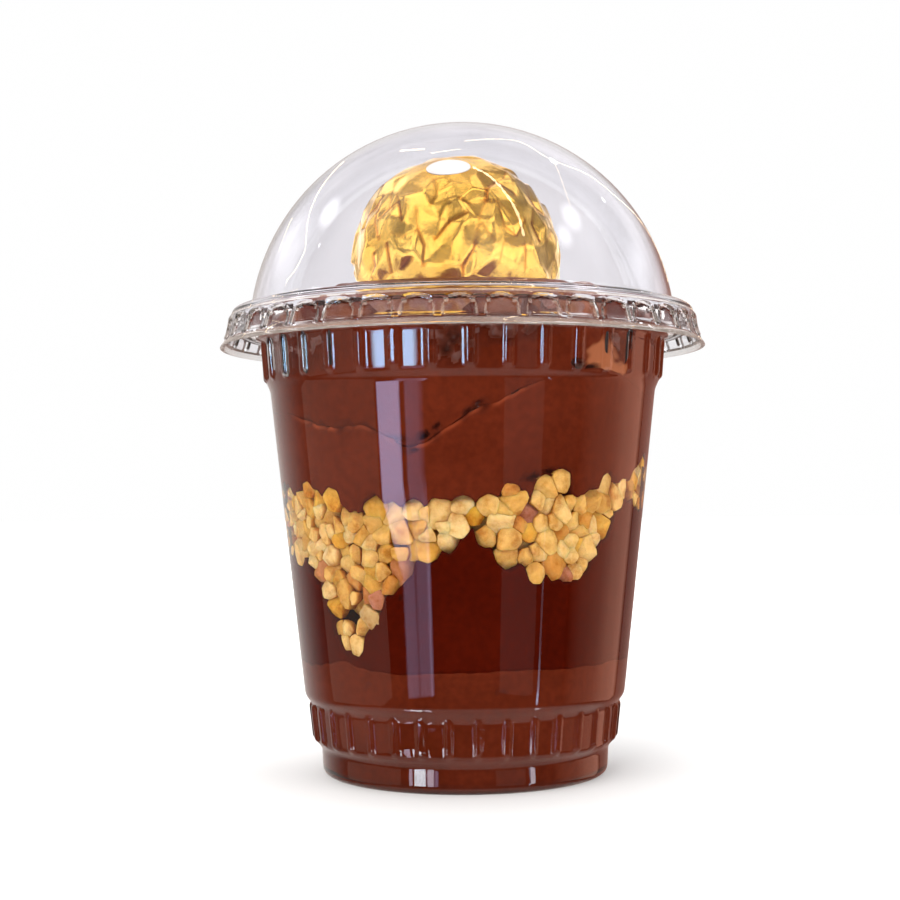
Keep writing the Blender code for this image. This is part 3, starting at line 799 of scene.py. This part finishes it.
PLASTIC_IOR = 1.5
HOLLOW_RIM_IOR = 1.16
LID_FOLD_IOR = 1.22
DEEP = 3.5                           # rays through more faces than this have been inside the lid
MILK = ((0.088, 0.0118, 0.0036), (0.112, 0.0165, 0.0058))
DARK = ((0.052, 0.0030, 0.0004), (0.062, 0.0040, 0.0007))
OPEN_MILK = ((0.110, 0.019, 0.007), (0.150, 0.029, 0.012))
EDGE_TONE = (0.235, 0.043, 0.016)
# paler tone of the painted light on the heap
LIT_SPOT_TONE = (0.31, 0.098, 0.042)


def let_light_in(tree, shader):
    """Closes a clear material: light for the contents goes straight through it."""
    rays = add(tree, "LightPath").outputs
    either = calc(tree, "MAXIMUM", rays["Is Shadow Ray"], rays["Is Diffuse Ray"])
    through = add(tree, "BsdfTransparent", {"Color": (0.94, 0.94, 0.94, 1)})
    close(tree, mixed(tree, either, shader, through))


def clear_plastic(name, tint, bending):
    """Clear plastic with faint streaks."""
    material, tree = new_material(name)
    streak = ramp(tree, noise(tree, 60), ((0.3, tuple(0.985 * t for t in tint)), (0.7, tint)))
    let_light_in(tree, add(tree, "BsdfGlass", {"Color": streak, "Roughness": 0, "IOR": bending}))
    return material


def rim_plastic():
    """Plastic where it is folded, which looks milky."""
    material, tree = new_material("lid_rim")
    tone = ramp(tree, noise(tree, 300), ((0.3, (0.46, 0.36, 0.30)), (0.7, (0.66, 0.55, 0.48))))
    glass = add(tree, "BsdfGlass", {"Color": (0.99, 0.99, 0.99, 1), "Roughness": 0,
                                    "IOR": LID_FOLD_IOR})
    let_light_in(tree, mixed(tree, 0.17, glass, add(tree, "BsdfDiffuse", {"Color": tone})))
    return material


def mousse(name, tones, gloss, bump, shine=0, lip=None):
    """Mousse between a dark and a light tone, and of a third one where a layer is marked."""
    material, tree = new_material(name)
    broad, small = noise(tree, 70, 4), noise(tree, 900)
    base = ramp(tree, broad, ((0.35, tones[0]), (0.65, tones[1])))
    specks = ramp(tree, small, ((0.35, (0.86, 0.86, 0.86)), (0.65, (1.08, 1.08, 1.08))))
    colour = times(tree, base, specks)
    if lip:
        colour = blend(tree, attribute(tree, "lip"), colour, (*lip, 1))
    rough = remap(tree, broad, 0, 1, gloss - 0.06, gloss + 0.1)
    surface(tree, colour, rough, small, bump, 0.0004, {"Specular IOR Level": shine})
    return material


def nut_material():
    """Cut nut, some pieces with skin. Painted shade makes a piece darker and browner round its rim and
    back, and darkens the back row.
    """
    material, tree = new_material("chopped_nut")
    parts = add(tree, "SeparateColor", {0: attribute(tree, "tint", "Color")}).outputs
    # the darkest stop, at 0, is for the core's painted shade; the other stops are kinds of nut and skin
    kind = ramp(tree, parts[0],
                ((0, (0.12, 0.035, 0.012)), (0.012, (0.82, 0.58, 0.27)), (0.5, (0.74, 0.45, 0.145)),
                 (0.80, (0.66, 0.36, 0.085)), (0.90, (0.68, 0.35, 0.04)), (0.95, (0.56, 0.23, 0.08)),
                 (1, (0.46, 0.19, 0.13))))
    grain = ramp(tree, noise(tree, 330, 5, roughness=0.68),
                 ((0.34, (0.66, 0.46, 0.28)), (0.48, (0.90, 0.82, 0.70)), (0.66, (1.08, 1.08, 1.12))))
    # painted shade: darker and browner towards a piece's rim and back
    shade = ramp(tree, parts[2], ((0, (1, 1, 1)), (0.35, (0.93, 0.84, 0.68)),
                                  (1, (0.64, 0.42, 0.20))))
    surface(tree, times(tree, times(tree, kind, grain), shade), 0.5, noise(tree, 650, 5), 0.6,
            0.0004, {"Specular IOR Level": 0, "Subsurface Weight": 0.5,
                     "Subsurface Radius": (1, 0.45, 0.15), "Subsurface Scale": 0.0012})
    return material


def foil_material():
    material, tree = new_material("gold_foil")
    base = ramp(tree, noise(tree, 120), ((0.3, (0.95, 0.53, 0.085)), (0.7, (1, 0.63, 0.13))))
    # painted shade: darker brown in the creases
    depth = ramp(tree, attribute(tree, "fold", "Color"),
                 ((0, (1, 1, 1)), (0.5, (0.66, 0.46, 0.30)), (1, (0.30, 0.15, 0.08))))
    surface(tree, times(tree, base, depth), 0.17, noise(tree, 700, 4), 0.3, 0.0002,
            {"Metallic": 1.0})
    return material


def label_material():
    material, tree = new_material("label_paper")
    base = ramp(tree, noise(tree, 300), ((0.3, (0.70, 0.66, 0.63)), (0.7, (0.78, 0.75, 0.72))))
    close(tree, add(tree, "BsdfPrincipled", {"Base Color": base, "Roughness": 0.4}))
    return material


def second_material(ob, material, wanted):
    """Gives a second material to the faces that are wanted, going by their middle and normal."""
    ob.data.materials.append(material)
    for face in ob.data.polygons:
        if wanted(*(c / MM for c in face.center), face.normal):
            face.material_index = 1


def open_top(x, y, z, normal):
    """The heap where it doesn't lie against the wall, and shines more."""
    return z > 76.5 or (z > 60.0 and hypot(x, y) < float(wall(z)) - 1)


def rolled_rim(x, y, z, normal):
    """The cup's rim is rolled hollow and bends light less than its solid form would."""
    return z > 73.05


def folded(x, y, z, normal):
    """The lid's lower rim and the outlines of its arches, which catch the light."""
    facing = abs((normal.x * x + normal.y * y) / hypot(x, y))
    return z < 72.66 or (73.1 < z < 77.0 and facing < 0.88)


def show(ob, material, node):
    """Puts a piece in its node's place, with its material."""
    ob.data.materials.append(material)
    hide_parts(node)
    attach(ob, "root")


WINDOW_AT = 1.6                      # distance from the middle of the cup in metres
HAZE_AT = 1.7


def put_on_stage(ob, unseen_by):
    """Links what isn't part of the object and hides it from some kinds of ray."""
    bpy.context.scene.collection.objects.link(ob)
    for ray in unseen_by:
        setattr(ob, "visible_" + ray, False)


def stage_mesh(name, corners, faces, material, unseen_by):
    mesh = bpy.data.meshes.new(name)
    mesh.from_pydata([tuple(c) for c in corners], [], faces)
    mesh.materials.append(material)
    ob = bpy.data.objects.new(name, mesh)
    put_on_stage(ob, unseen_by)
    return ob


def glow_piece(name, corners, faces, material, **marks):
    """Glowing card that only mirrors see, with a number for each of its corners."""
    ob = stage_mesh(name, corners, faces, material,
                    ("camera", "diffuse", "transmission", "volume_scatter", "shadow"))
    for key, values in marks.items():
        mark(ob, key, values)


def card(name, colour, strength, rows, distance=WINDOW_AT):
    """Card standing round the cup. Each row is its height in metres and pairs of azimuth and level."""
    material, tree = new_material(name)
    close(tree, emission(tree, colour, calc(tree, "MULTIPLY", attribute(tree, "level"), strength)))
    corners = [(*polar(distance, turn, 0)[:2], height) for height, stops in rows
               for turn, _ in stops]
    glow_piece(name, corners, grid(0, len(rows), len(rows[0][1]), False), material,
               level=[level for _, stops in rows for _, level in stops])


def plain(turns, heights):
    """Rows of an evenly lit card."""
    return tuple((height, tuple((turn, 1) for turn in turns)) for height in heights)


def softbox(name, place, aim, size, power, colour):
    data = bpy.data.lights.new(name, "AREA")
    data.shape = "RECTANGLE"
    data.size = data.size_y = size
    data.energy = power
    data.color = colour
    ob = bpy.data.objects.new(name, data)
    ob.location = place
    ob.rotation_euler = (Vector(aim) - Vector(place)).to_track_quat("-Z", "Y").to_euler()
    put_on_stage(ob, ("glossy", "camera", "transmission"))


def pane(azimuths, level):
    """Row of a plain pane with soft sides."""
    return tuple(zip(azimuths, (0, level, level, 0)))


HIGH_PANE = ((-51, 0), (-50, 1), (-37.5, 1), (-36, 0),
             (-33.8, 0), (-32.8, 0.22), (-26, 0.18), (-22, 0))
LOW_PANE = ((-40.5, 0), (-39, 0.27), (-32.5, 0.25), (-31, 0.13),
            (-29.5, 0.24), (-24, 0.24), (-22.4, 0.5), (-20.6, 0))
NO_PANE = tuple((turn, 0) for turn, _ in LOW_PANE)
HAZE = ((72, 0), (84, 0.35), (100, 0.6), (112, 1), (130, 1), (136, 0))
BAND = (-50, -48.5, -27.5, -26)
LINE = (51.4, 52, 52.8, 53.4)
WINDOWS = {                          # colour, strength, rows of height and pane
    "window_band": ((0.42, 0.68, 1), 21, ((-0.13, pane(BAND, 1)), (0.12, pane(BAND, 1)))),
    "window_wall": ((0.65, 0.64, 1), 7.5,
                    ((-0.60, NO_PANE), (-0.58, LOW_PANE), (-0.38, LOW_PANE), (-0.27, HIGH_PANE),
                     (-0.14, HIGH_PANE))),
    "window_line": ((0.52, 0.73, 1), 10,
                    ((-0.62, pane(LINE, 1)), (-0.556, pane(LINE, 1)), (-0.5, pane(LINE, 0.35)),
                     (-0.45, pane(LINE, 0.1)), (-0.3, pane(LINE, 0.08)))),
    "haze_right": ((1, 0.50, 0.36), 1.35, ((-0.65, HAZE), (0.2, HAZE)))}
GLINT_AT = 0.045                     # beside the foot and below the floor, in metres
GLINT_HEIGHTS = (-0.0066, -0.0006)
GLINTS = {                           # what only the foot mirrors: azimuths, strength, colour
    "glint_a": ((-32.8, -30.6), 6, (0.9, 0.8, 1)),
    "glint_b": ((-29.5, -22.6), 16, (0.84, 0.93, 1)),
    "glint_c": ((-21.5, -18), 8, (0.9, 0.85, 1)),
    "glint_d": ((38.5, 41.5), 8, (0.9, 0.92, 1))}
# what the dome mirrors, by azimuth and elevation on the dome in degrees
DOME_LINES = {                       # path, width in mm, strength
    "line_left": (((-55, 50), (-53, 39), (-50.5, 31), (-47, 23), (-45.5, 18), (-48, 13), (-51, 11)),
                  0.35, 9),
    "line_right": (((1.6, 53), (15, 54.7), (27, 54), (35, 46), (50, 42), (58, 36), (69, 30), (76, 22),
                    (76, 13)), 0.35, 7),
    "line_over": (((4, 40.6), (8.8, 37.2), (12.4, 32), (15, 26), (16, 19)), 0.55, 20),
    "line_bar": (((-24, 49.4), (-14, 49.3)), 0.6, 14),
    "line_bar_two": (((-11, 47), (0, 48.6)), 0.4, 8),
    "line_faint": (((35.4, 45.5), (33, 36), (32, 26)), 0.3, 4),
    "line_edge": (((-61, 30), (-60.5, 26), (-59.6, 20)), 0.3, 5)}
DOME_SPOTS = {                       # azimuth, elevation, half height in mm, strength
    "spot_left": (-40.4, 28.7, 2.6, 8), "spot_right": (31.2, 25.5, 2.4, 9),
    "spot_right_low": (27.4, 19.8, 2, 8), "spot_star": (35.4, 45.5, 0.8, 22),
    "spot_small": (47.9, 32.8, 0.5, 14), "spot_dot": (-40, 19.1, 0.4, 14),
    "cloud_left": (-53, 20, 7, 1.8), "cloud_right": (36, 22, 6, 1.8),
    "cloud_low": (53, 14, 4.5, 1.4)}
SPOT_SIDES = 20
CAMERA_AT = (0, -0.265, 0.0464)
CAMERA_TURN = (0.48, 1.75, 0.42)     # yaw, pitch and roll
LENS = 61.8
MIRRORED_AT = 1.2                    # distance of what the dome mirrors, in metres


def mirrored(turn, up, along=0, across=0):
    """Point in the room that shows on the dome at an azimuth and elevation, seen by the camera."""
    turn, up = radians(turn), radians(up)
    n = Vector(outward(turn, up))
    east = Vector((cos(turn), sin(turn), 0))
    n = (n * DOME[0] + east * across + n.cross(east) * along).normalized()
    at = (n * DOME[0] + Vector((0, 0, DOME[1]))) * MM
    seen = (at - Vector(CAMERA_AT)).normalized()
    return at + (seen - 2.0 * seen.dot(n) * n) * MIRRORED_AT


def eased_path(path, steps):
    """Points of a curve through the given points."""
    points = [np.array(p, float) for p in path]
    points = [2 * points[0] - points[1]] + points + [2 * points[-1] - points[-2]]
    out = []
    for a, b, c, d in zip(points, points[1:], points[2:], points[3:]):
        for i in range(steps):
            t = i / steps
            out.append(0.5 * (2 * b + (c - a) * t + (2 * a - 5 * b + 4 * c - d) * t ** 2
                              + (3 * b - a - 3 * c + d) * t ** 3))
    return out + [points[-2]]


def dome_line(name, path, width, strength):
    """Warm string of light as the dome mirrors it."""
    line = eased_path(path, 8)
    corners = []
    for i, (turn, up) in enumerate(line):
        before, after = line[max(0, i - 1)], line[min(len(line) - 1, i + 1)]
        run = np.array(((after[0] - before[0]) * cos(radians(up)), after[1] - before[1]))
        run = run / np.linalg.norm(run) * 0.5 * width * (0.7 + 0.3 * sin(2.1 * i))
        corners.append(mirrored(turn, up, run[0], -run[1]))
        corners.append(mirrored(turn, up, -run[0], run[1]))
    material, tree = new_material(name)
    close(tree, emission(tree, (1, 0.80, 0.50), strength))
    glow_piece(name, corners, grid(0, len(line), 2, False), material)


def dome_spot(name, turn, up, size, strength):
    """Soft round glow as the dome mirrors it, over whatever is behind it."""
    material, tree = new_material(name)
    glow = remap(tree, attribute(tree, "fade"), 0, 1, 0, strength, "SMOOTHSTEP")
    light = emission(tree, (0.96, 0.97, 1), glow)
    close(tree, add(tree, "AddShader", {0: light, 1: add(tree, "BsdfTransparent")}))
    corners, faces = [mirrored(turn, up)], []
    for i in range(SPOT_SIDES):
        a = 2.0 * pi * i / SPOT_SIDES
        corners.append(mirrored(turn, up, 1.5 * size * sin(a), size * cos(a)))
        faces.append((0, 1 + i, 1 + (i + 1) % SPOT_SIDES))
    glow_piece(name, corners, faces, material, fade=[1.0] + [0.0] * SPOT_SIDES)


def shallow_mirror(tree):
    """1 for rays mirrored by the cup itself, 0 for what is seen and for what the foil mirrors."""
    rays = add(tree, "LightPath").outputs
    by_mirror = calc(tree, "GREATER_THAN", rays["Glossy Depth"], 0.5)
    return calc(tree, "MULTIPLY", by_mirror, calc(tree, "LESS_THAN", rays["Transmission Depth"], DEEP))


def floor_material():
    """Pale floor, lit up far from the object and dim where the cup mirrors it."""
    material, tree = new_material("floor")
    base = ramp(tree, noise(tree, 5), ((0.3, (0.80, 0.80, 0.80)), (0.7, (0.81, 0.81, 0.81))))
    matt = add(tree, "BsdfDiffuse", {"Color": base})
    place = add(tree, "TexCoord").outputs["Object"]
    away = add(tree, "VectorMath", {0: place}, operation="LENGTH").outputs["Value"]
    glow = emission(tree, (1, 1, 1), remap(tree, away, 0.08, 0.6, 0.05, 0.75))
    both = add(tree, "AddShader", {0: matt, 1: glow})
    dim = emission(tree, (1, 0.85, 0.8), 0.05)
    close(tree, mixed(tree, shallow_mirror(tree), both, dim))
    return material


def build_stage():
    s = 3.0
    stage_mesh("floor", [(-s, -s, 0), (s, -s, 0), (s, s, 0), (-s, s, 0)], [(0, 1, 2, 3)],
               floor_material(), ("glossy",))
    softbox("key", (-0.5, -0.75, 0.8), (0, 0, 0.05), 0.9, 8.6, (1, 0.98, 0.95))
    softbox("fill", (0.75, -0.55, 0.35), (0, 0, 0.05), 0.6, 3, (1, 0.97, 0.95))
    softbox("overhead", (0, 0.1, 0.9), (0, 0, 0), 0.7, 7, (1, 1, 1))
    for name, settings in WINDOWS.items():
        card(name, *settings)
    card("haze_a", (1, 0.85, 0.8), 0.28, plain((24, 48), (-0.6, 0.1)), HAZE_AT)
    card("haze_c", (1, 0.80, 0.68), 0.45, plain((-108, -52), (-0.6, 0.2)), HAZE_AT)
    for name, (turns, strength, colour) in GLINTS.items():
        card(name, colour, strength, plain(turns, GLINT_HEIGHTS), GLINT_AT)
    for name, settings in DOME_LINES.items():
        dome_line(name, *settings)
    for name, settings in DOME_SPOTS.items():
        dome_spot(name, *settings)


def build_world():
    """White to the camera. The plastic mirrors a dark room, the foil one with bright patches."""
    world = bpy.data.worlds.new("studio")
    bpy.context.scene.world = world
    world.use_nodes = True
    tree = world.node_tree
    tree.nodes.clear()
    rays = add(tree, "LightPath").outputs
    aim = add(tree, "TexCoord").outputs["Generated"]
    x, y, z = add(tree, "SeparateXYZ", {0: aim}).outputs
    behind = remap(tree, y, 0.2, 0.95, ease="SMOOTHSTEP")
    sides = ramp(tree, remap(tree, x, -0.3, 0.3), ((0, (0.75, 0.70, 0.66)), (1, (0.42, 0.24, 0.20))))
    level = blend(tree, behind, (0.03, 0.026, 0.024, 1), sides)
    cloud = ramp(tree, noise(tree, 1.6, 2, aim),
                 ((0.35, (0.12, 0.11, 0.11)), (0.65, (0.95, 0.92, 0.90))))
    above = remap(tree, z, 0.19, 0.45, ease="SMOOTHSTEP")
    below = remap(tree, z, -0.42, -0.62, ease="SMOOTHSTEP")
    room = blend(tree, below, blend(tree, above, level, cloud), (0.75, 0.68, 0.62, 1))
    patches = ramp(tree, noise(tree, 3.2, 2, aim),
                   ((0.38, (0.30, 0.28, 0.26)), (0.5, (0.95, 0.92, 0.88)), (0.61, (2.4, 2.35, 2.3))))
    deep = calc(tree, "GREATER_THAN", rays["Transmission Depth"], DEEP)
    glossy = calc(tree, "GREATER_THAN", rays["Glossy Depth"], 0.5)
    diffuse = calc(tree, "GREATER_THAN", rays["Diffuse Depth"], 0.5)
    seen = blend(tree, glossy, (0.998, 0.998, 0.998, 1), blend(tree, deep, room, patches))
    last = blend(tree, diffuse, seen, (0.6, 0.6, 0.6, 1))
    add(tree, "OutputWorld", {"Surface": add(tree, "Background", {"Color": last, "Strength": 1.0})})


def build_camera():
    """Camera in front of the cup, turned a little aside, up and over."""
    data = bpy.data.cameras.new("camera")
    data.sensor_width = 36.0
    data.lens = LENS
    data.clip_start = 0.01
    ob = bpy.data.objects.new("camera", data)
    ob.location = CAMERA_AT
    ob.rotation_mode = "QUATERNION"
    yaw, pitch, roll = (radians(a) for a in CAMERA_TURN)
    look = Vector(outward(pi + yaw, pitch))
    side = look.cross(Vector((0, 0, 1))).normalized()
    tilted = side.cross(look) * cos(roll) + side * sin(roll)
    right = look.cross(tilted).normalized()
    ob.rotation_quaternion = Matrix((right, tilted, -look)).transposed().to_quaternion()
    bpy.context.scene.collection.objects.link(ob)
    bpy.context.scene.camera = ob


cup = build_cup()
show(cup, clear_plastic("clear_cup", (0.99, 0.99, 1), PLASTIC_IOR), "cup")
second_material(cup, clear_plastic("clear_cup_rim", (0.99, 0.98, 0.97), HOLLOW_RIM_IOR), rolled_rim)
lid = build_lid()
show(lid, clear_plastic("clear_lid", (0.975, 0.97, 0.985), PLASTIC_IOR), "dome_lid")
second_material(lid, rim_plastic(), folded)
nuts, front_cells = build_nuts()
show(nuts, nut_material(), "nut_layer")
low, dark, milk, heap = build_layers(front_cells)
show(low, mousse("milk_mousse", MILK, 0.42, 0.2), "mousse_base")
show(dark, mousse("dark_mousse", DARK, 0.34, 0.12), "mousse_dark")
show(milk, mousse("milk_mousse_edged", MILK, 0.42, 0.2, lip=EDGE_TONE), "mousse_middle")
# the heap's paler spots are painted light
show(heap, mousse("milk_mousse_lumpy", MILK, 0.42, 0.2, lip=LIT_SPOT_TONE), "mousse_top")
second_material(heap, mousse("milk_mousse_open", OPEN_MILK, 0.34, 0.5, 0.5), open_top)
show(build_ball(), foil_material(), "foil_ball")
show(build_label(), label_material(), "ball_label")
build_stage()
build_world()
build_camera()
bpy.context.scene.view_settings.view_transform = "Standard"
